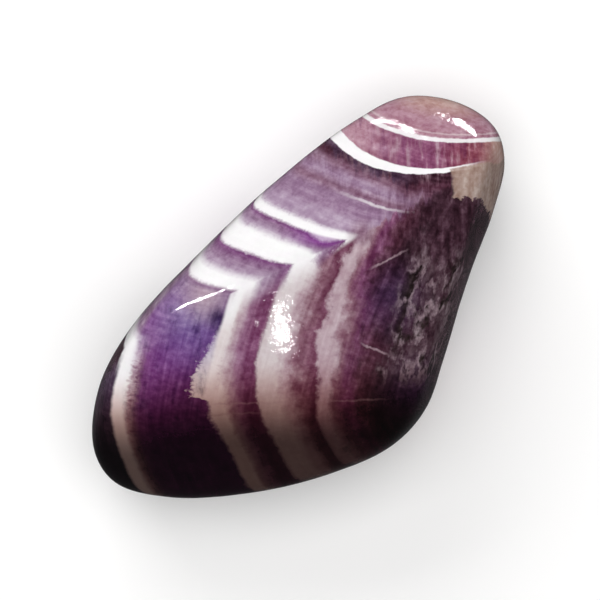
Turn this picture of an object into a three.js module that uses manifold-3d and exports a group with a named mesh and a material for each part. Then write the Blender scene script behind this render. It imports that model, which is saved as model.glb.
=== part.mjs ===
// A tumbled chevron amethyst: one pebble of banded quartz, polished all over, lying on its flattest face.
// X runs along the stone towards its narrow end, Z is up, and the rest face is at Z = 0.
// All sizes are in millimetres and all angles in degrees.
import * as THREE from "three";
import { mergeVertices } from "three/addons/utils/BufferGeometryUtils.js";
import Module from "manifold-3d";

const wasm = await Module();
wasm.setup();

// The stone seen from above: points on its widest line, anticlockwise from the narrow end.
const OUTLINE = [
  [20.1, 2.5], [19.25, 6.05], [16.75, 8.85], [12.1, 10.05], [4.9, 10.6], [-3.0, 10.45], [-10.9, 9.7],
  [-16.25, 7.8], [-19.4, 4.85], [-20.1, 1.65], [-17.8, -1.95], [-12.6, -6.1], [-6.85, -9.15], [-2.15, -10.6],
  [1.7, -10.2], [5.45, -8.15], [10.85, -4.9], [15.95, -2.25], [18.95, -0.1],
];

const MIDDLE_HEIGHT = 7.4; // of the stone's middle above the rest face
const WIDEST_LINE_RISE = 0.16; // the widest line climbs by this share of the way across the stone
const WIDEST_LINE_TOWARDS = 95; // the direction in which it climbs, from +X

// Between the worn faces the flank is rounded, with these half heights above and below its widest line.
const FLANK_RISE = 12;
const FLANK_DEPTH = 11.5;
const FLANK_SQUARENESS = 2.6; // 2 is an ellipse, and higher is boxier

// Each worn face is a patch of a very large sphere. distance is how far it lies from the stone's
// middle, slope is its tilt away from level, towards is the direction in which it falls away, and
// swell is the radius of the sphere.
const UPPER_FACES = [
  { name: "main", distance: 7.9, slope: 14, towards: -105, swell: 60 },
  { name: "bevel", distance: 10.75, slope: 36, towards: 70, swell: 130 },
  { name: "narrow end", distance: 15.15, slope: 54, towards: 45, swell: 400 },
  { name: "low side", distance: 9.3, slope: 38, towards: -116, swell: 45 },
  { name: "broad end", distance: 16.7, slope: 68, towards: 128, swell: 100 },
  { name: "steep side", distance: 10.1, slope: 73, towards: -60, swell: 400 },
];
const LOWER_FACES = [
  { name: "rest", distance: 7.7, slope: 3, towards: 80, swell: 100 },
  { name: "under the narrow end", distance: 10.2, slope: 20, towards: 5, swell: 300 },
  { name: "under the broad end", distance: 11.2, slope: 24, towards: 186, swell: 300 },
  { name: "under the low side", distance: 9.3, slope: 41, towards: -95, swell: 150 },
  { name: "under the bevel", distance: 9.9, slope: 46, towards: 96, swell: 250 },
];
const EDGE_CRISPNESS = 40; // how sharply the faces meet: higher is sharper

// Shallow hollows left by old chips, worn smooth. climb is the angle above level, and width is the
// angle from the middle of the hollow to where it has lost two thirds of its depth.
const HOLLOWS = [
  { towards: 103, climb: -12, width: 13, depth: 0.45 },
  { towards: 207, climb: -30, width: 15, depth: 0.5 },
  { towards: -38, climb: -26, width: 12, depth: 0.4 },
  { towards: 22, climb: -18, width: 9, depth: 0.35 },
];

const OUTLINE_STEPS = 720;
const CURVE_POINTS_PER_STEP = 4;
const SPHERE_DETAIL = 20;
const ROUGH_HALF_SIZES = [20, 10.7, 8.1]; // they keep the triangles even from end to end
const REST_CUT_SIDE = 60;
const MERGE_STEP = 1e-4;

const stoneMaterial = new THREE.MeshStandardMaterial({
  name: "amethyst",
  color: 0x4a2a66,
  roughness: 0.12,
  metalness: 0,
});

// A direction in the plan as a place from 0 to OUTLINE_STEPS.
function placeTowards(x, y) {
  const turn = Math.atan2(y, x) / (2 * Math.PI);
  return (turn < 0 ? turn + 1 : turn) * OUTLINE_STEPS;
}

// The distance of the widest line from the stone's middle, for each of OUTLINE_STEPS directions.
function outlineRadii() {
  const corners = OUTLINE.map(([x, y]) => new THREE.Vector3(x, y, 0));
  const curve = new THREE.CatmullRomCurve3(corners, true, "centripetal");
  const radii = new Float64Array(OUTLINE_STEPS);
  const nearest = new Float64Array(OUTLINE_STEPS).fill(Infinity);
  for (const point of curve.getPoints(OUTLINE_STEPS * CURVE_POINTS_PER_STEP)) {
    const place = placeTowards(point.x, point.y);
    const step = Math.round(place) % OUTLINE_STEPS;
    const distance = Math.abs(place - Math.round(place));
    if (distance < nearest[step]) {
      nearest[step] = distance;
      radii[step] = Math.hypot(point.x, point.y);
    }
  }
  return radii;
}

function radiusTowards(radii, x, y) {
  const place = placeTowards(x, y);
  const step = Math.floor(place);
  const share = place - step;
  const next = radii[(step + 1) % OUTLINE_STEPS];
  return radii[step % OUTLINE_STEPS] * (1 - share) + next * share;
}

// The unit vector that points towards a direction in the plan, tilted up by climb.
function unitVector(towards, climb) {
  const turn = THREE.MathUtils.degToRad(towards);
  const rise = THREE.MathUtils.degToRad(climb);
  const plan = Math.cos(rise);
  return new THREE.Vector3(plan * Math.cos(turn), plan * Math.sin(turn), Math.sin(rise));
}

// Adds to each face the direction in which it looks: up for an upper face, down for a lower one.
function withNormals(faces, upOrDown) {
  return faces.map((face) => ({
    ...face,
    normal: unitVector(face.towards, upOrDown * (90 - face.slope)),
  }));
}

// How far the large sphere of a face lies from the stone's middle in a direction.
function distanceToFace(face, direction) {
  const centre = face.distance - face.swell;
  const lean = direction.dot(face.normal) * centre;
  return lean + Math.sqrt(lean * lean - centre * centre + face.swell * face.swell);
}

// How far the rounded flank lies from the stone's middle in a direction.
function distanceToFlank(direction, radii) {
  const climb = WIDEST_LINE_RISE * direction.dot(unitVector(WIDEST_LINE_TOWARDS, 0));
  const rise = direction.z - climb;
  const across = Math.hypot(direction.x, direction.y) / radiusTowards(radii, direction.x, direction.y);
  const along = Math.abs(rise) / (rise > 0 ? FLANK_RISE : FLANK_DEPTH);
  return (across ** FLANK_SQUARENESS + along ** FLANK_SQUARENESS) ** (-1 / FLANK_SQUARENESS);
}

// The nearest of the given distances, with the change from one to the next rounded off.
function smoothNearest(distances) {
  const sum = distances.reduce((total, distance) => total + distance ** -EDGE_CRISPNESS, 0);
  return sum ** (-1 / EDGE_CRISPNESS);
}

// How deep the hollows are in a direction.
function hollowDepth(direction) {
  return HOLLOWS.reduce((depth, hollow) => {
    const away = direction.angleTo(unitVector(hollow.towards, hollow.climb));
    const share = away / THREE.MathUtils.degToRad(hollow.width);
    return depth + hollow.depth * Math.exp(-share * share);
  }, 0);
}

// A geometry with shared vertices and positions only, as the boolean cut needs it.
function mergedPositions(geometry) {
  geometry.deleteAttribute("normal");
  geometry.deleteAttribute("uv");
  return mergeVertices(geometry, MERGE_STEP);
}

function solidOf(geometry) {
  const merged = mergedPositions(geometry);
  return new wasm.Manifold(
    new wasm.Mesh({
      numProp: 3,
      vertProperties: merged.attributes.position.array,
      triVerts: new Uint32Array(merged.index.array),
    }),
  );
}

function geometryOf(solid) {
  const mesh = solid.getMesh();
  const geometry = new THREE.BufferGeometry();
  geometry.setAttribute("position", new THREE.BufferAttribute(mesh.vertProperties, 3));
  geometry.setIndex(new THREE.BufferAttribute(mesh.triVerts, 1));
  geometry.computeVertexNormals();
  return geometry;
}

// A fine ball is stretched to the stone's rough proportions, and then each of its points moves to the
// nearest face or flank in its direction.
function pebbleGeometry() {
  const radii = outlineRadii();
  const stretch = new THREE.Vector3(...ROUGH_HALF_SIZES);
  const faces = [...withNormals(UPPER_FACES, 1), ...withNormals(LOWER_FACES, -1)];
  const geometry = mergedPositions(new THREE.IcosahedronGeometry(1, SPHERE_DETAIL));
  const positions = geometry.attributes.position;
  const direction = new THREE.Vector3();
  for (let i = 0; i < positions.count; i++) {
    direction.fromBufferAttribute(positions, i).multiply(stretch).normalize();
    const distances = faces.map((face) => distanceToFace(face, direction));
    distances.push(distanceToFlank(direction, radii));
    direction.multiplyScalar(smoothNearest(distances) - hollowDepth(direction));
    positions.setXYZ(i, direction.x, direction.y, direction.z + MIDDLE_HEIGHT);
  }
  return geometry;
}

// The rest face is where wear has taken the underside down to one flat plane.
function stoneGeometry() {
  const below = new THREE.BoxGeometry(REST_CUT_SIDE, REST_CUT_SIDE, REST_CUT_SIDE);
  below.translate(0, 0, -REST_CUT_SIDE / 2);
  return geometryOf(solidOf(pebbleGeometry()).subtract(solidOf(below)));
}

const part = new THREE.Group();
const stone = new THREE.Mesh(stoneGeometry(), stoneMaterial);
stone.name = "stone";
part.add(stone);

export default part;
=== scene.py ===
# A tumbled chevron amethyst: the looks of the stone, on a pale floor under a window.
import math
import random
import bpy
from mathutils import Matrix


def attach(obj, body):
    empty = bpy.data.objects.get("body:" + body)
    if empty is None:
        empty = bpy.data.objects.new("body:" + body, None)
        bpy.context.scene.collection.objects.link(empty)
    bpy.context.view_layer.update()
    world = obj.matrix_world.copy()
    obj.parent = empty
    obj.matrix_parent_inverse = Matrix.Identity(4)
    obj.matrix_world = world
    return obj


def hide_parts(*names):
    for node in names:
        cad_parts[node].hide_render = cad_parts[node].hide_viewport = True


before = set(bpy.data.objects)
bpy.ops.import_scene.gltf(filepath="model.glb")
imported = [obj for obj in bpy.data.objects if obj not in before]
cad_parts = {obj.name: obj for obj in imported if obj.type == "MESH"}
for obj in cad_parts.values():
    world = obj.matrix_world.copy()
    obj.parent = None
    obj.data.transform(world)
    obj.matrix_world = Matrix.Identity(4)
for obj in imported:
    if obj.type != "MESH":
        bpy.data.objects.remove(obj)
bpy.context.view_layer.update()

from types import SimpleNamespace

import bmesh
import bpy
import numpy as np
from mathutils import Matrix, Vector, noise
from mathutils.bvhtree import BVHTree
from mathutils.interpolate import poly_3d_calc

MM = 0.001  # one millimetre in Blender's metres

# The photograph looks straight down on the stone, whose long axis runs up to the right in it. These
# are the photograph's own directions on the floor.
ROLL = math.radians(42)
PHOTO_RIGHT = Vector((math.cos(ROLL), -math.sin(ROLL), 0))
PHOTO_UP = Vector((math.sin(ROLL), math.cos(ROLL), 0))
UPWARDS = Vector((0, 0, 1))

# The stone's middle, in mm. Places on the stone are measured from it.
MIDDLE = Vector((0, 0, 7.4))


def place(right, up, height):
    """A place in the stone: mm from its middle, in the photograph's directions and upwards."""
    return PHOTO_RIGHT * right + PHOTO_UP * up + UPWARDS * height


# The fine mesh of the stone
MESH_STEPS = 126  # squares along each edge of the cube that is blown up to the stone
ROUGH_HALF_SIZES = Vector((20, 10.7, 8.1))  # they keep the squares even from end to end
WELD_DISTANCE = 0.001  # mm
REST_FACET = -0.999  # a facet that looks down more squarely than this is part of the flat rest face
ROUNDING = 0.75  # how far a point of a facet moves out to the curve through the facet's corners
SMOOTHING_ROUNDS = 8
WAVES = [(7.0, 0.05), (2.4, 0.014)]  # wavelength and depth of the polish's unevenness, in mm
CELLS_PER_WAVE = 2  # of the noise that they are made with
WAVE_START = 0.6  # mm above the floor over which the waves grow from nothing
PIT_SEED = 7
PIT_COUNT = 46
PIT_WIDTH = (0.15, 0.45)  # mm
PIT_DEPTH = (0.01, 0.035)  # mm

# The crystal grew along three directions at once, the faces of one rhombohedron, and each colour
# band is a former crystal face. start is how far out the first white band lies, in mm.
GROWTH = {
    "upper": {"direction": Vector((0.699, 0.572, 0.430)), "start": 5.15},
    "main": {"direction": Vector((0.302, -0.717, 0.628)), "start": 0.0},
    "under": {"direction": Vector((0.732, -0.318, -0.602)), "start": 3.4},
}

# Noises: the size of their clouds in mm, or their length and width where they are drawn out
NOISE_GAIN = 6  # it brings Blender's noise, which keeps near its middle, to about -1 to 1
WANDER = {"size": 6, "detail": 1}
CLOUDS = {"size": 0.9, "detail": 5, "roughness": 0.65}
CURTAIN = {"length": 3, "width": 0.45, "detail": 3}
FIBRES = {"length": 2.0, "width": 0.35, "detail": 3}
LAYERS = {"length": 0.26, "width": 5, "detail": 3}
BLOTCHES = {"length": 1.8, "width": 1.1, "detail": 6, "roughness": 0.68}
SMEARS = {"length": 2.6, "width": 1.2, "detail": 6, "roughness": 0.7}
STRANDS = {"length": 2.6, "width": 1.5, "detail": 4, "roughness": 0.6}
STRAND_DIRECTION = (PHOTO_UP + PHOTO_RIGHT * 0.3).normalized()
WANDER_DEPTH = 0.06  # mm, of all the bands
LEDGE_ROUGHNESS = 0.1  # mm, by which the clouds shift what depends on rough_up

# The colours of the quartz, as they show on a screen
WHITE = (255, 255, 255)
MILK = (246, 244, 245)
FROST = (226, 216, 216)
PEARL = (215, 204, 206)
VEIL = (194, 172, 180)
LAVENDER = (178, 156, 178)
LILAC = (158, 130, 156)
MAUVE = (142, 108, 128)
CLAY = (148, 109, 124)
GARNET = (124, 74, 98)
HEATHER = (158, 116, 144)
ORCHID = (128, 78, 126)
PLUM = (128, 76, 110)
WINE = (96, 58, 74)
SMOKE = (72, 46, 58)
VIOLET = (120, 66, 122)
INK = (52, 30, 78)
BLUE_VIOLET = (124, 104, 162)
PURPLE = (146, 82, 152)
BRIGHT_VIOLET = (148, 80, 160)
ROSE = (146, 92, 122)
BRICK = (146, 86, 100)
BLUSH = (184, 144, 158)
# Painted warm rim light, where light comes through the stone's thin edges.
PEACH_RIM_LIGHT = (206, 174, 164)
SAND = (180, 158, 148)
DUSK = (90, 72, 94)
INDIGO = (72, 50, 90)
OLIVE = (44, 36, 32)
SOOT = (20, 12, 14)

# The bands: how far out each colour is reached, in mm. Between two places the colour changes evenly.
# They are brightest on the upper growth, partly as painted light, since it lies on the facet turned to the
# light, and fade on the main one with the distance from the fold.
UPPER_BANDS = [
    (-11.0, SMOKE), (-6.1, SMOKE), (-5.9, MILK), (-4.95, MILK), (-4.3, LAVENDER), (-3.7, LILAC),
    (-2.9, LILAC), (-2.0, LAVENDER), (-1.2, LILAC), (0.0, LILAC), (0.18, MILK), (0.85, MILK),
    (1.4, LAVENDER), (1.8, LILAC), (2.32, ORCHID), (2.5, MILK), (3.5, MILK), (3.9, LAVENDER),
    (4.2, LILAC), (4.48, ORCHID), (4.64, MILK), (4.95, MILK), (5.2, LAVENDER), (5.7, LAVENDER),
    (6.05, LILAC), (6.7, LILAC), (7.1, MAUVE), (7.55, LILAC), (8.0, MAUVE), (8.5, WINE), (12.0, WINE),
]
MAIN_BANDS = [
    (-11.0, DUSK), (-5.8, DUSK), (-5.55, MILK), (-4.9, MILK), (-4.55, VEIL), (-4.2, MAUVE),
    (-3.8, ORCHID), (-3.0, VIOLET), (-0.3, VIOLET), (-0.14, FROST), (0.4, FROST), (0.65, VEIL),
    (1.15, HEATHER), (1.6, PLUM), (2.1, PLUM), (2.28, PEARL), (3.1, PEARL), (3.6, VEIL),
    (4.15, CLAY), (4.8, GARNET), (5.1, VEIL), (5.8, VEIL), (6.3, CLAY), (6.95, PLUM),
    (7.5, WINE), (8.4, SMOKE), (12.0, SMOKE),
]

# From here on, a pair of numbers gives the values between which something rises from nothing to full.
# Where it depends on more than one thing, it has limits, each with the name of a field and such a
# pair. The fields right, up and height are mm from the stone's middle, upper, main and under are mm
# out along the growth directions, and the others are noises and distances: see quartz_fields.

# The fold, where the bands of two growth directions meet. The outermost ones meet softly and in
# ragged threads, and further out the main growth takes over more. Sizes are in mm.
FOLD = {
    "softness": 0.1, "outer": (4.9, 6.8), "outer_softness": 1.0, "outer_raggedness": 0.8,
    "drift": 1.3, "drifting": (4.8, 8.2),
}
FADE = (0.0, 2.4)  # mm past the fold, over which the main bands fade
OUTER_FADE = {"main": (3.6, 6.0), "times": 7}  # the outermost ones fade that many times as fast

# Away from the fold the main bands wander. The first white one bulges towards the core, more and more
# downwards, as far as a ledge. Below that only a small share of the bulge is left.
BULGE = {"depth": 0.85, "grows": (-4.5, -2.2), "shrinks": (-0.9, 1.1), "up": (0.5, -4.5)}
LEDGE = {"up": (-5.75, -5.45), "keeps": 0.1}
# How many mm further out the bands lie in the end, and the limits over which that grows
BENDS = [
    (-0.8, [("main", 5.0, 6.2), ("rough_up", 0.5, 4.0)]),
    (1.2, [("main", -1.6, 1.8), ("rough_up", -1.5, -9.5)]),
    (0.2, [("main", 3.3, 4.6), ("rough_up", -0.5, -4.0)]),
    (0.35, [("main", -1.5, 1.5), ("rough_up", -5.5, -10.5)]),
    (-0.7, [("main", 5.4, 7.0), ("rough_up", -1.5, -6.0)]),
]

# The edges of the bands are toothed along the fibres, most of all inside the first V.
CORE = [("main", 0.6, -0.4), ("main", -5.2, -4.4)]
TEETH = {
    "size": 0.05, "feathered_size": 0.2, "feathered": [("up", 0.5, -3.0), ("up", -6.2, -5.6)],
    "middle": 0.7, "clouds": {"upper": 0.03, "main": 0.05, "under": 0.05},
}
# The outer main bands wobble too, except low down.
WOBBLE = {"depth": 0.3, "limits": [("main", 2.5, 3.4), ("up", -7.5, -4.5)]}
WOBBLE_NOISE = {"size": 1.6, "detail": 5, "roughness": 0.6}
# The outer corner of the broad V is blunt, because the bands lie closer in there.
BLUNT_CORNER = {"middle": place(0.0, 5.5, 7.8), "radius": 2.1, "depth": 0.8}

# Soft patches: colour, middle, radius in mm and strength
CORE_PATCHES = [
    (PURPLE, place(-12.5, 0.0, 6.0), 5.0, 0.8),
    (BLUE_VIOLET, place(-9.6, 0.2, 8.0), 5.5, 0.7),
    (VEIL, place(-8.8, 2.2, 8.0), 2.8, 0.8),
    (INK, place(-7.7, 0.4, 8.4), 1.4, 0.9),
]
CORE_EDGE = (0.0, -0.3)
CORE_INK = {"blotches": (0.0, 1.4), "strength": 0.45}
# The first V stays white some way down its steep side.
WHITE_ARM_PATCHES = [(MILK, place(-7.0, 1.6, 8.7), 3.2, 0.9)]
WHITE_ARM = [("main", -0.3, -0.1), ("main", 0.6, 0.35)]
# The stripe between the broad V and the thin one glows violet, and the thin one ends at its corner.
STRIPE_PATCHES = [(BRIGHT_VIOLET, place(-0.3, 6.0, 8.5), 4.0, 0.6)]
STRIPE = [("upper", 3.6, 4.2), ("upper", 4.7, 4.5)]
LINE_END_PATCHES = [(MAUVE, place(3.0, 7.0, 8.6), 1.5, 0.95)]
LINE_END = [("upper", 4.1, 4.4)]
# Beyond them the upper growth has a faint line, and is dusky near the last white line.
FAINT_LINE = {
    "upper": 6.85, "roughness": 0.04, "half_width": (0.12, 0.03), "right": (0.5, 4), "strength": 0.5,
}
DUSKY_PATCHES = [(WINE, place(8.2, 9.0, 6.5), 4.8, 0.8)]

# The dark quartz beyond the last bands of the main growth, and the lace of wisps in it: their middle,
# how they lean, and how many mm from the middle they set in
DARK_PATCHES = [
    (INDIGO, place(4.6, 2.2, 7.5), 4.5, 0.55),
    (WINE, place(2.6, -2.3, 7.0), 3.5, 0.6),
    (INDIGO, place(7.0, -5.0, 5.0), 4.0, 0.6),
]
DARK = {"main": (5.8, 7.4), "soot": (0.0, 1.2), "soot_strength": 0.5}
LACE = {
    "right": 7.7, "up": 0.6, "lean": 0.25, "raggedness": 0.4,
    "half_width": (3.0, 1.2), "half_height": (5.8, 3.2),
}
LACE_GAPS = {"strands": (0.2, -0.7), "strength": 0.9}
FILAMENTS = {"half_width": (0.55, 0.0), "smears": (-0.6, 0.6), "strength": 0.55}
HAZE = {"strands": (0.0, 1.6), "strength": 0.25}

# The narrow end grew in shells. The last white line is part of a ball and thins out to the right. A
# comb of dark threads hangs from it, with a pale mist below. A rosy shell and the cap lie above it.
LAST_LINE = {
    "centre": place(8.5, 20.0, 3.0), "radius": 9.19, "roughness": 0.04, "edge": 0.06,
    "width": 1.0, "thin_width": 0.4, "thinning": (1.0, 10.5), "right": (13.0, 10.0),
}
MIST = [("from_line", 1.4, 2.4), ("from_line", 3.6, 2.4), ("right", 9, 4), ("curtain", -1.0, 0.8)]
MIST_STRENGTH = 0.7
COMB = {"depth": (1.6, 0.6), "raggedness": 0.5, "strength": 0.75}
SHELL_EDGE = 0.05
# The cap: its fainter inner line is a painted highlight.
CAP = {
    "centre": place(10.5, 27.0, 3.0), "radius": 13.13, "roughness": 0.05, "edge": 0.05,
    "mottling": 0.3, "line": 0.26, "line_strength": 0.9, "highlight_line": 0.55, "highlight_strength": 0.5,
}
# Tints: a colour, the field and the values between which it sets in, and its strength
COMB_TINTS = [(SMOKE, "right", 5, 8, 1), (VEIL, "curtain", 0.0, 1.0, 0.45)]
# The peach towards the far right is painted rim light, where light comes through the thin edge.
SHELL_TINTS = [
    (ROSE, "right", 2, 7, 1), (BRICK, "right", 8, 11.5, 1), (VEIL, "curtain", 0.0, 1.2, 0.45),
    (PLUM, "curtain", 0.0, -1.0, 0.5), (PEACH_RIM_LIGHT, "right", 11.6, 13.6, 0.9),
]
# The peach towards the cap's rim is painted rim light, where light comes through the thin edge.
CAP_TINTS = [(PEACH_RIM_LIGHT, "in_cap", 1.4, 3.4, 1), (ROSE, "clouds", -0.2, 1.2, 0.3)]

# The sandy patch below the thin end of the last line. Its bottom dips to the right, and it is more
# ragged lower down on the stone.
SANDY = {
    "right": (9.7, 10.1), "up": (9.55, 9.8), "from_line": (-0.15, 0.0), "height": (-2, -0.5),
    "dip": 1.8, "dipping": (11.8, 13.4), "strength": 0.92,
    "fine_raggedness": 0.1, "coarse_raggedness": 1.5, "coarse": (3.5, -2), "bottom_raggedness": 2,
}
SANDY_NOISE = {"size": 3, "detail": 3}

# Fine healed fractures: their middle and how far they reach from it in mm, how much they climb to the
# right, and how strongly they show
FRACTURES = [
    {"right": 2.2, "up": -5.7, "reach": 3.5, "climb": 0.02, "strength": 0.3},
    {"right": -6.2, "up": -5.9, "reach": 3.0, "climb": 0.02, "strength": 0.3},
    {"right": -6.6, "up": -6.7, "reach": 3.0, "climb": 0.02, "strength": 0.3},
    {"right": 5.0, "up": 5.0, "reach": 1.8, "climb": 0.5, "strength": 0.55},
    {"right": 4.0, "up": -1.8, "reach": 1.3, "climb": -0.4, "strength": 0.6},
]
FRACTURE_LINE = {"half_width": (0.14, 0.02), "full_share": 1 / 3, "roughness": 0.1}

# How much the noises deepen the colour. The curtain does so in the narrow end alone.
DEPTHS = {"thread": 0.10, "sheet": 0.13, "clouds": 0.16}
CURTAIN_DEPTH = -0.18
NARROW_END = [("up", 2, 6), ("main", 4, 6)]
BRIGHTNESS_MOTTLING = 0.03

# Painted shade: towards the photograph's bottom, where the stone turns away from the light, the quartz is
# painted darker by a power, dimmer by a share, and browner. At the broad end it does so some mm later.
PAINTED_SHADE = {"up": (-2.2, -9.2), "power": 0.5, "share": 0.86}
SHADE_BROWNING = {"up": (-2.0, -7.0), "tint": (255, 217, 205)}
BROAD_END = {"later": 1.3, "right": (-9.0, -15.0)}

# The polish: how rough it is from place to place, and the height of its fine scratches in mm
POLISH = {"smoothest": 0.03, "roughest": 0.1, "noise": (-1.0, 1.2)}
POLISH_NOISE = {"size": 1.5, "detail": 4}
SCRATCH_HEIGHT = 0.002
SCRATCH_NOISE = {"size": 0.5, "detail": 3}

# What is the same all over the stone, and all over the floor
STONE_SHADER = {
    "IOR": 1.55,
    "Subsurface Weight": 0.25,
    "Subsurface Radius": (1, 0.8, 1),
    "Subsurface Scale": 0.4 * MM,
}
FLOOR_SHADER = {
    "Base Color": (0.88, 0.875, 0.87, 1),
    "Roughness": 0.7,
    "Specular IOR Level": 0.2,
    "Emission Color": (1, 1, 1, 1),
    "Emission Strength": 0.12,
}
FLOOR_REACH = 2.5  # m

# Rectangular lights that light the stone and aren't mirrored in it. Where they stand is a direction
# from the stone in the photograph, in degrees from its right and above the floor, and a distance in m.
LIGHTS = {
    "sky_panel": {"towards": 112, "above": 36, "distance": 0.8, "size": (0.55, 0.3), "power": 2.2},
    "ceiling": {"towards": -68, "above": 88, "distance": 1.0, "size": (1.2, 1.2), "power": 9.0},
}
# Lights that are only mirrored, as the highlights on the ridge, on the cap's line, on the broad V and
# on the cap. The last one stands below the floor, which the stone doesn't mirror.
MIRRORED_LIGHTS = {
    "window": {"towards": 181, "above": 73, "distance": 0.6, "size": (0.05, 0.13), "power": 1.0},
    "low_window": {"towards": 98, "above": 0, "distance": 0.8, "size": (0.1, 0.025), "power": 0.25},
    "lamp": {"towards": -78, "above": 68, "distance": 0.5, "size": (0.007, 0.055), "power": 0.06},
    "table_lamp": {"towards": 81, "above": -20, "distance": 0.8, "size": (0.05, 0.05), "power": 0.25},
}
SURROUNDINGS = (0.9, 0.9, 0.92, 1)
SURROUNDINGS_STRENGTH = 0.08

# The camera
LENS = 300
SENSOR = 36
VIEW_WIDTH = 46.25  # mm across the picture, at the stone's middle height
VIEW_CENTRE = (-1.68, 1.93)  # mm from the stone's middle, in the photograph's directions
NEAREST = 0.01  # m
FURTHEST = 20  # m


def linear(colour):
    """A colour from 0 to 255 as it shows on a screen, as the shader's own numbers."""
    def one(value):
        share = value / 255
        return share / 12.92 if share <= 0.04045 else ((share + 0.055) / 1.055) ** 2.4
    return (*[one(value) for value in colour], 1)


def photo_direction(towards, above):
    """A unit vector from an angle in the photograph, anticlockwise from its right, and a height angle."""
    turn = math.radians(towards)
    rise = math.radians(above)
    level = PHOTO_RIGHT * math.cos(turn) + PHOTO_UP * math.sin(turn)
    return level * math.cos(rise) + UPWARDS * math.sin(rise)


# The stone's mesh

def ball_squares(steps):
    """Whole-number points on a cube's surface from 0 to steps, and the squares between them."""
    line = np.arange(steps + 1)
    first, second = np.meshgrid(line, line, indexing="ij")
    grid = np.arange((steps + 1) ** 2).reshape(steps + 1, steps + 1)
    corners = np.stack([grid[:-1, :-1], grid[1:, :-1], grid[1:, 1:], grid[:-1, 1:]], axis=-1).reshape(-1, 4)
    sheets = []
    squares = []
    for axis in range(3):
        for side in (0, steps):
            sheet = np.zeros((steps + 1, steps + 1, 3), int)
            sheet[..., axis] = side
            sheet[..., (axis + 1) % 3] = first
            sheet[..., (axis + 2) % 3] = second
            outward = corners if side else corners[:, ::-1]
            squares.append(outward + len(sheets) * grid.size)
            sheets.append(sheet.reshape(-1, 3))
    points, place_of = np.unique(np.concatenate(sheets), axis=0, return_inverse=True)
    return points, place_of.reshape(-1)[np.concatenate(squares)]


def smoothed(points, squares, rounds):
    """The points after each has moved halfway to the middle of its neighbours, some rounds over."""
    edges = np.concatenate([squares[:, [i, (i + 1) % 4]] for i in range(4)])
    count = np.bincount(edges[:, 0], minlength=len(points))
    for _ in range(rounds):
        sums = [np.bincount(edges[:, 0], points[edges[:, 1], axis], len(points)) for axis in range(3)]
        points = (points + np.stack(sums, axis=1) / count[:, None]) / 2
    return points


def wave_depth(point):
    """How far the uneven polish lies under the smooth form, at a point in mm."""
    depth = 0
    for wavelength, height in WAVES:
        depth += height * (0.5 + 0.5 * noise.noise(point / wavelength * CELLS_PER_WAVE))
    return depth


def pit_depths(points):
    """How deep the small pits in the polish are at each point, in mm."""
    draw = random.Random(PIT_SEED)
    depths = np.zeros(len(points))
    for _ in range(PIT_COUNT):
        middle = points[draw.randrange(len(points))]
        width = draw.uniform(*PIT_WIDTH)
        depth = draw.uniform(*PIT_DEPTH)
        away = np.linalg.norm(points - middle, axis=1) / width
        depths = np.maximum(depths, depth * np.exp(-away ** 2))
    return depths


def cad_surface():
    """The CAD stone in mm, with the corners of its facets joined so that they share their normals."""
    surface = bmesh.new()
    surface.from_mesh(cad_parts["stone"].data)
    bmesh.ops.scale(surface, vec=(1 / MM, 1 / MM, 1 / MM), verts=surface.verts)
    bmesh.ops.remove_doubles(surface, verts=surface.verts, dist=WELD_DISTANCE)
    surface.normal_update()
    surface.faces.ensure_lookup_table()
    return surface


def rounded_off(hit, facet):
    """The place of a point of a facet on the curved surface that the facet stands for."""
    if facet.normal.z < REST_FACET:
        return hit
    corners = [vertex.co for vertex in facet.verts]
    pulled = Vector()
    for share, vertex in zip(poly_3d_calc(corners, hit), facet.verts):
        pulled += share * (hit - (hit - vertex.co).dot(vertex.normal) * vertex.normal)
    return hit.lerp(pulled, ROUNDING)


def stone_mesh():
    """A fine mesh wrapped on the CAD stone, with the unevenness of the polish."""
    surface = cad_surface()
    tree = BVHTree.FromBMesh(surface)
    cube_points, squares = ball_squares(MESH_STEPS)
    directions = np.tan((cube_points / MESH_STEPS - 0.5) * math.pi / 2) * np.array(ROUGH_HALF_SIZES)
    points = []
    for direction in directions:
        hit, _, index, _ = tree.ray_cast(MIDDLE, Vector(direction).normalized())
        points.append(rounded_off(hit, surface.faces[index]))
    surface.free()
    points = smoothed(np.array(points), squares, SMOOTHING_ROUNDS)
    depths = np.array([wave_depth(Vector(point)) for point in points]) + pit_depths(points)
    depths *= np.clip(points[:, 2] / WAVE_START, 0, 1)
    inward = np.array(MIDDLE) - points
    inward /= np.linalg.norm(inward, axis=1)[:, None]
    points += inward * depths[:, None]
    mesh = bpy.data.meshes.new("stone_surface")
    mesh.from_pydata((points * MM).tolist(), [], squares.tolist())
    mesh.polygons.foreach_set("use_smooth", [True] * len(squares))
    mesh.update()
    return mesh


# Shader maths, written as plain sums

# Blender's Mix node has sockets of the same name for each kind of value. These are the ones that mix
# colours.
MIX_SHARE = 0
MIX_FIRST = 6
MIX_SECOND = 7
MIX_RESULT = 2


class Field:
    """A number, vector or colour that changes over the stone: one output of a shader node."""

    def __init__(self, socket):
        self.socket = socket
        self.tree = socket.id_data

    def __add__(self, other):
        return maths("ADD", self, other)

    def __sub__(self, other):
        return maths("SUBTRACT", self, other)

    def __rsub__(self, other):
        return maths("SUBTRACT", other, self)

    def __mul__(self, other):
        return maths("MULTIPLY", self, other)

    def __truediv__(self, other):
        return maths("DIVIDE", self, other)

    def __neg__(self):
        return self * -1

    def __abs__(self):
        return maths("ABSOLUTE", self)

    __rmul__ = __mul__


def add_node(tree, kind, inputs, **settings):
    """A shader node with its settings, and its inputs linked or set."""
    node = tree.nodes.new(kind)
    for name, value in settings.items():
        setattr(node, name, value)
    for name, value in inputs.items():
        if isinstance(value, Field):
            tree.links.new(value.socket, node.inputs[name])
        else:
            node.inputs[name].default_value = value
    return node


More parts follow.
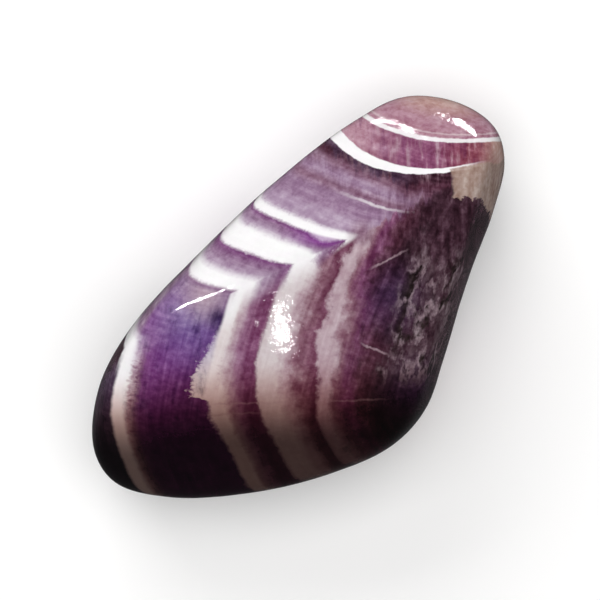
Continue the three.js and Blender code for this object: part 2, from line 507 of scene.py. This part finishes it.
def maths(operation, *values):
    tree = next(value.tree for value in values if isinstance(value, Field))
    node = add_node(tree, "ShaderNodeMath", dict(enumerate(values)), operation=operation)
    return Field(node.outputs[0])


def vector_maths(operation, first, second):
    node = add_node(first.tree, "ShaderNodeVectorMath", {0: first, 1: second}, operation=operation)
    return Field(node.outputs["Value" if operation in ("DOT_PRODUCT", "DISTANCE") else "Vector"])


def scaled(vector, factor):
    """A vector or colour times a number."""
    inputs = {"Vector": vector, "Scale": factor}
    return Field(add_node(vector.tree, "ShaderNodeVectorMath", inputs, operation="SCALE").outputs["Vector"])


def deepened(colour, power):
    """A colour raised to a power: above 1 it is deeper, and white stays white."""
    node = add_node(colour.tree, "ShaderNodeGamma", {"Color": colour, "Gamma": power})
    return Field(node.outputs["Color"])


def along(point, direction):
    """How far a point lies along a direction."""
    return vector_maths("DOT_PRODUCT", point, tuple(direction))


def away_from(point, centre):
    """How far a point lies from a place in the stone."""
    return vector_maths("DISTANCE", point, tuple(centre))


def vector_of(x, y, z):
    return Field(add_node(x.tree, "ShaderNodeCombineXYZ", {"X": x, "Y": y, "Z": z}).outputs[0])


def rise_between(value, start, end):
    """0 below start, 1 above end, and a smooth rise between them. It falls where end is below start."""
    limits = {"Value": value, "From Min": start, "From Max": end}
    node = add_node(value.tree, "ShaderNodeMapRange", limits, interpolation_type="SMOOTHSTEP")
    return Field(node.outputs["Result"])


def near(point, centre, radius):
    """1 at a place in the stone, falling to 0 at that many mm from it."""
    return rise_between(away_from(point, centre), radius, 0)


def speckle(point, size, detail, roughness=0.5):
    """Cloudy noise around 0, mostly from -1 to 1, with clouds of about that size in mm."""
    inputs = {"Vector": point, "Scale": 1 / size, "Detail": detail, "Roughness": roughness}
    return (Field(add_node(point.tree, "ShaderNodeTexNoise", inputs).outputs[0]) - 0.5) * NOISE_GAIN


def grain(point, direction, length, width, **texture):
    """Cloudy noise that is drawn out along a direction, or flattened where its width is the larger."""
    side = direction.orthogonal().normalized()
    other = direction.cross(side)
    across = along(point, side) / width
    stretched = vector_of(along(point, direction) / length, across, along(point, other) / width)
    return speckle(stretched, 1, **texture)


def blended(first, second, share):
    """The first number where share is 0 and the second where it is 1."""
    return first + share * (second - first)


def mixed(first, second, share):
    """The first colour where share is 0 and the second where it is 1."""
    inputs = {
        MIX_SHARE: share,
        MIX_FIRST: first if isinstance(first, Field) else linear(first),
        MIX_SECOND: second if isinstance(second, Field) else linear(second),
    }
    return Field(add_node(share.tree, "ShaderNodeMix", inputs, data_type="RGBA").outputs[MIX_RESULT])


def banded(distance, bands):
    """The colour of the bands at a distance."""
    low, high = bands[0][0], bands[-1][0]
    node = add_node(distance.tree, "ShaderNodeValToRGB", {"Fac": (distance - low) / (high - low)})
    stops = node.color_ramp.elements
    while len(stops) < len(bands):
        stops.new(1)
    for stop, (reach, colour) in zip(stops, bands):
        stop.position = (reach - low) / (high - low)
        stop.color = linear(colour)
    return Field(node.outputs["Color"])


# The quartz. at holds the fields of a point, by name.

def within(at, limits):
    """1 where the fields have passed all their limits, and 0 where one of them hasn't begun to."""
    return math.prod(rise_between(getattr(at, name), start, end) for name, start, end in limits)


def tinted(colour, at, tints):
    """A colour with each tint mixed in as far as its field has risen."""
    for tint, name, start, end, strength in tints:
        colour = mixed(colour, tint, rise_between(getattr(at, name), start, end) * strength)
    return colour


def glowing(colour, at, patches, where):
    """Adds soft round patches of colour, as far as a mask lets them."""
    for patch_colour, centre, radius, strength in patches:
        colour = mixed(colour, patch_colour, near(at.point, centre, radius) * where * strength)
    return colour


def quartz_fields(point):
    """What the colour of the quartz depends on at a point, in mm from the stone's middle."""
    at = SimpleNamespace(point=point)
    at.right, at.up, at.height = [along(point, way) for way in (PHOTO_RIGHT, PHOTO_UP, UPWARDS)]
    wander = speckle(point, **WANDER) * WANDER_DEPTH
    at.upper, at.main, at.under = [
        along(point, growth["direction"]) - growth["start"] + wander for growth in GROWTH.values()
    ]
    directions = {sector: growth["direction"].normalized() for sector, growth in GROWTH.items()}
    at.threads = {sector: grain(point, direction, **FIBRES) for sector, direction in directions.items()}
    at.clouds = speckle(point, **CLOUDS)
    at.rough_up = at.up + at.clouds * LEDGE_ROUGHNESS
    length, width = CURTAIN["length"], CURTAIN["width"]
    curtain_point = vector_of(at.right / width, at.up / length, at.height / length)
    at.curtain = speckle(curtain_point, 1, detail=CURTAIN["detail"])
    at.blotches = grain(point, PHOTO_UP, **BLOTCHES)
    at.smears = grain(point, PHOTO_UP, **SMEARS)
    at.strands = grain(point, STRAND_DIRECTION, **STRANDS)

    outer = rise_between(at.main, *FOLD["outer"])
    drift = rise_between(at.main, *FOLD["drifting"]) * FOLD["drift"]
    at.past_fold = at.main - at.upper + drift + outer * at.curtain * FOLD["outer_raggedness"]
    softness = outer * (FOLD["outer_softness"] - FOLD["softness"]) + FOLD["softness"]
    at.in_upper = rise_between(at.past_fold, softness, -softness)
    at.in_core = within(at, CORE)
    at.thread = blended(at.threads["main"], at.threads["upper"], at.in_upper)
    sheets = [grain(point, directions[sector], **LAYERS) for sector in ("main", "upper")]
    at.sheet = blended(*sheets, at.in_upper)

    from_line = away_from(point, LAST_LINE["centre"]) - LAST_LINE["radius"]
    at.from_line = from_line + at.clouds * LAST_LINE["roughness"]
    return at


def band_teeth(at):
    """How many mm are added to how far out a point lies, so that the edges of the bands are rough."""
    feathered = within(at, TEETH["feathered"]) * at.in_core * TEETH["feathered_size"]
    sizes = {"upper": TEETH["size"], "main": feathered + TEETH["size"], "under": TEETH["size"]}
    teeth = {}
    for sector, size in sizes.items():
        clouds = at.clouds * TEETH["clouds"][sector]
        teeth[sector] = (abs(at.threads[sector]) - TEETH["middle"]) * size + clouds
    wobble = speckle(at.point, **WOBBLE_NOISE) * WOBBLE["depth"] * within(at, WOBBLE["limits"])
    blunt = near(at.point, BLUNT_CORNER["middle"], BLUNT_CORNER["radius"]) * BLUNT_CORNER["depth"]
    teeth["upper"] = teeth["upper"] + blunt
    teeth["main"] = teeth["main"] + wobble + blunt
    return teeth


def wandered(at):
    """How far out a point of the main growth lies once its bands have wandered away from the fold."""
    bulge = rise_between(at.main, *BULGE["grows"]) - rise_between(at.main, *BULGE["shrinks"])
    bulge *= rise_between(at.rough_up, *BULGE["up"])
    bulge *= rise_between(at.rough_up, *LEDGE["up"]) * (1 - LEDGE["keeps"]) + LEDGE["keeps"]
    bulge *= rise_between(at.main - at.upper, *FADE)
    reach = at.main + bulge * BULGE["depth"]
    for depth, limits in BENDS:
        reach = reach - within(at, limits) * depth
    return reach


def band_colours(at):
    """The bands of the three growth directions, each where it reached out furthest."""
    teeth = band_teeth(at)
    main_reach = wandered(at) + teeth["main"]
    faster = rise_between(at.main, *OUTER_FADE["main"]) * (OUTER_FADE["times"] - 1) + 1
    fade = rise_between(at.past_fold * faster, *FADE)
    # The main bands fade from the upper colours, which are partly painted light, to their own darker ones
    # past the fold.
    main_colour = mixed(banded(main_reach, UPPER_BANDS), banded(main_reach, MAIN_BANDS), fade)
    upper_colour = banded(at.upper + teeth["upper"], UPPER_BANDS)
    under_colour = banded(at.under + teeth["under"], MAIN_BANDS)
    past_others = at.under - maths("MAXIMUM", at.upper, at.main)
    in_under = rise_between(past_others, -FOLD["softness"], FOLD["softness"])
    return mixed(mixed(main_colour, upper_colour, at.in_upper), under_colour, in_under)


def core(colour, at):
    """The violet core inside the first V, and the white of the V's steep side."""
    in_arm = within(at, WHITE_ARM) * (1 - at.in_upper)
    colour = glowing(colour, at, WHITE_ARM_PATCHES, in_arm)
    in_core = at.in_core * rise_between(maths("MAXIMUM", at.upper, at.main), *CORE_EDGE)
    colour = glowing(colour, at, CORE_PATCHES, in_core)
    inked = rise_between(at.blotches, *CORE_INK["blotches"]) * in_core
    return mixed(colour, INK, inked * CORE_INK["strength"])


def upper_growth(colour, at):
    """The finer marks of the upper growth, from the stripe below the thin V up to the last white line."""
    off_line = abs(at.upper - FAINT_LINE["upper"] + at.clouds * FAINT_LINE["roughness"])
    line = rise_between(off_line, *FAINT_LINE["half_width"]) * at.in_upper
    line *= rise_between(at.right, *FAINT_LINE["right"])
    colour = mixed(colour, MILK, line * FAINT_LINE["strength"])
    colour = glowing(colour, at, DUSKY_PATCHES, at.in_upper)
    colour = glowing(colour, at, STRIPE_PATCHES, within(at, STRIPE) * at.in_upper)
    return glowing(colour, at, LINE_END_PATCHES, within(at, LINE_END))


def dark_side(colour, at):
    """The dark quartz beyond the last bands of the main growth, with its lace of white wisps."""
    in_dark = rise_between(at.main, *DARK["main"]) * (1 - at.in_upper)
    colour = glowing(colour, at, DARK_PATCHES, in_dark)
    colour = mixed(colour, SOOT, rise_between(at.smears, *DARK["soot"]) * in_dark * DARK["soot_strength"])
    above = at.up - LACE["up"]
    across = at.right - LACE["right"] - above * LACE["lean"] + at.smears * LACE["raggedness"]
    lace = rise_between(abs(across), *LACE["half_width"]) * rise_between(abs(above), *LACE["half_height"])
    lace *= in_dark
    gaps = rise_between(at.strands, *LACE_GAPS["strands"]) * LACE_GAPS["strength"]
    colour = mixed(colour, OLIVE, gaps * lace)
    filaments = rise_between(abs(at.strands), *FILAMENTS["half_width"])
    filaments *= rise_between(at.smears, *FILAMENTS["smears"]) * FILAMENTS["strength"]
    haze = rise_between(at.strands, *HAZE["strands"]) * HAZE["strength"]
    return mixed(colour, VEIL, (filaments + haze) * lace)


def last_line(colour, at):
    """The last white line, with mist and a comb of threads on one side and a rosy shell on the other."""
    colour = mixed(colour, LAVENDER, within(at, MIST) * at.in_upper * MIST_STRENGTH)
    comb = rise_between(at.from_line + at.curtain * COMB["raggedness"], *COMB["depth"]) * at.in_upper
    colour = mixed(colour, tinted(DUSK, at, COMB_TINTS), comb * COMB["strength"])
    in_shell = rise_between(at.from_line, SHELL_EDGE, -SHELL_EDGE)
    colour = mixed(colour, tinted(BLUSH, at, SHELL_TINTS), in_shell)
    thinning = rise_between(at.right, *LAST_LINE["thinning"])
    width = thinning * (LAST_LINE["thin_width"] - LAST_LINE["width"]) + LAST_LINE["width"]
    edge = LAST_LINE["edge"]
    line = rise_between(width / 2 - abs(at.from_line), -edge, edge)
    return mixed(colour, MILK, line * rise_between(at.right, *LAST_LINE["right"]))


def cap(colour, at):
    """The cap of the narrow end, with the white line around it and a fainter painted highlight line inside
    that.
    """
    inside = CAP["radius"] - away_from(at.point, CAP["centre"]) + at.clouds * CAP["roughness"]
    at.in_cap = inside + at.clouds * CAP["mottling"]
    in_edge = rise_between(inside, -CAP["edge"], CAP["edge"])
    colour = mixed(colour, tinted(BLUSH, at, CAP_TINTS), in_edge)
    # Painted highlight: a fainter pale line just inside the cap's white line.
    highlight_line = rise_between(abs(inside - CAP["highlight_line"]), CAP["line"] / 2, 0)
    colour = mixed(colour, FROST, highlight_line * CAP["highlight_strength"])
    line = rise_between(abs(inside), CAP["line"], CAP["line"] / 2)
    return mixed(colour, MILK, line * CAP["line_strength"])


def sandy_patch(colour, at):
    """The opaque sandy patch below the thin end of the last white line."""
    coarse = speckle(at.point, **SANDY_NOISE) * rise_between(at.height, *SANDY["coarse"])
    ragged = (at.thread + at.clouds) * SANDY["fine_raggedness"] + coarse * SANDY["coarse_raggedness"]
    dip = rise_between(at.right, *SANDY["dipping"]) * SANDY["dip"]
    above_bottom = at.up + ragged * SANDY["bottom_raggedness"] + dip
    sandy = rise_between(at.right + ragged, *SANDY["right"]) * rise_between(above_bottom, *SANDY["up"])
    sandy *= rise_between(at.from_line, *SANDY["from_line"])
    sandy *= rise_between(at.height + ragged, *SANDY["height"])
    return mixed(colour, SAND, sandy * SANDY["strength"])


def fractures(colour, at):
    """Fine pale lines where old cracks have healed."""
    for fracture in FRACTURES:
        across = at.right - fracture["right"]
        off_line = at.up - fracture["up"] - across * fracture["climb"]
        off_line += at.blotches * FRACTURE_LINE["roughness"]
        reach = fracture["reach"]
        line = rise_between(abs(off_line), *FRACTURE_LINE["half_width"])
        line *= rise_between(abs(across), reach, reach * FRACTURE_LINE["full_share"])
        colour = mixed(colour, VEIL, line * fracture["strength"])
    return colour


def toned(colour, at):
    """The colour with its fine grain, and with painted shade: deeper, dimmer and browner towards the
    photograph's bottom.
    """
    # Painted shade: darker, dimmer and browner towards the photograph's bottom, setting in later at the
    # broad end.
    up = at.up + rise_between(at.right, *BROAD_END["right"]) * BROAD_END["later"]
    painted_shade = rise_between(up, *PAINTED_SHADE["up"])
    power = painted_shade * PAINTED_SHADE["power"] + 1
    for name, depth in DEPTHS.items():
        power += getattr(at, name) * depth
    power += at.curtain * within(at, NARROW_END) * CURTAIN_DEPTH
    # The painted shade also browns the colour.
    shade_browning = mixed(WHITE, SHADE_BROWNING["tint"], rise_between(up, *SHADE_BROWNING["up"]))
    colour = vector_maths("MULTIPLY", deepened(colour, power), shade_browning)
    return scaled(colour, (1 - painted_shade * PAINTED_SHADE["share"]) * (at.clouds * BRIGHTNESS_MOTTLING + 1))


def stone_colour(point):
    """The colour of the quartz at a point, in mm from the stone's middle."""
    at = quartz_fields(point)
    colour = band_colours(at)
    for marks in (core, upper_growth, dark_side, last_line, cap, sandy_patch, fractures, toned):
        colour = marks(colour, at)
    return colour


def new_material(name, settings):
    """A material with these settings of its shader."""
    material = bpy.data.materials.new(name)
    material.use_nodes = True
    shader = material.node_tree.nodes["Principled BSDF"]
    for setting, value in settings.items():
        shader.inputs[setting].default_value = value
    return material


def stone_material():
    material = new_material("banded amethyst", STONE_SHADER)
    tree = material.node_tree
    coordinates = Field(tree.nodes.new("ShaderNodeTexCoord").outputs["Object"])
    point = vector_maths("SUBTRACT", scaled(coordinates, 1 / MM), tuple(MIDDLE))
    worn = rise_between(speckle(point, **POLISH_NOISE), *POLISH["noise"])
    scratches = {
        "Height": speckle(point, **SCRATCH_NOISE),
        "Strength": 1.0,
        "Distance": SCRATCH_HEIGHT * MM,
    }
    links = {
        "Base Color": stone_colour(point),
        "Roughness": worn * (POLISH["roughest"] - POLISH["smoothest"]) + POLISH["smoothest"],
        "Normal": Field(add_node(tree, "ShaderNodeBump", scratches).outputs["Normal"]),
    }
    for name, field in links.items():
        tree.links.new(field.socket, tree.nodes["Principled BSDF"].inputs[name])
    return material


def add_object(name, data):
    """A new object in the scene."""
    added = bpy.data.objects.new(name, data)
    bpy.context.scene.collection.objects.link(added)
    return added


def add_stone():
    stone = add_object("stone_surface", stone_mesh())
    stone.data.materials.append(stone_material())
    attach(stone, "root")
    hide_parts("stone")


# The floor, light and camera

def add_floor():
    """A pale floor, which the stone doesn't mirror."""
    mesh = bpy.data.meshes.new("floor")
    corners = [(x * FLOOR_REACH, y * FLOOR_REACH, 0) for x, y in ((-1, -1), (1, -1), (1, 1), (-1, 1))]
    mesh.from_pydata(corners, [], [(0, 1, 2, 3)])
    mesh.materials.append(new_material("pale floor", FLOOR_SHADER))
    floor = add_object("floor", mesh)
    floor.visible_glossy = False


def add_area_light(name, towards, above, distance, size, power, mirrored):
    """A rectangular light that looks at the stone. It is either only mirrored in it or only lights it."""
    light = bpy.data.lights.new(name, "AREA")
    light.shape = "RECTANGLE"
    light.size, light.size_y = size
    light.energy = power
    lamp = add_object(name, light)
    direction = photo_direction(towards, above)
    lamp.location = MIDDLE * MM + direction * distance
    lamp.rotation_mode = "QUATERNION"
    lamp.rotation_quaternion = (-direction).to_track_quat("-Z", "Y")
    lamp.visible_camera = False
    lamp.visible_glossy = mirrored
    lamp.visible_diffuse = not mirrored


def add_surroundings():
    world = bpy.data.worlds.new("surroundings")
    world.use_nodes = True
    background = world.node_tree.nodes["Background"]
    background.inputs["Color"].default_value = SURROUNDINGS
    background.inputs["Strength"].default_value = SURROUNDINGS_STRENGTH
    bpy.context.scene.world = world


def add_camera():
    """A camera straight above, turned so that the stone lies as in the photograph."""
    camera = add_object("camera", bpy.data.cameras.new("camera"))
    camera.data.lens = LENS
    camera.data.sensor_width = SENSOR
    right, up = VIEW_CENTRE
    eye = MIDDLE + place(right, up, VIEW_WIDTH * LENS / SENSOR)
    camera.matrix_world = Matrix.Translation(eye * MM) @ Matrix.Rotation(-ROLL, 4, "Z")
    camera.data.clip_start = NEAREST
    camera.data.clip_end = FURTHEST
    bpy.context.scene.camera = camera


add_stone()
add_floor()
for light_name, light_settings in LIGHTS.items():
    add_area_light(light_name, **light_settings, mirrored=False)
for light_name, light_settings in MIRRORED_LIGHTS.items():
    add_area_light(light_name, **light_settings, mirrored=True)
add_surroundings()
add_camera()
bpy.context.scene.view_settings.view_transform = "Standard"
bpy.context.scene.view_settings.look = "Medium High Contrast"
bpy.context.scene.cycles.use_denoising = True
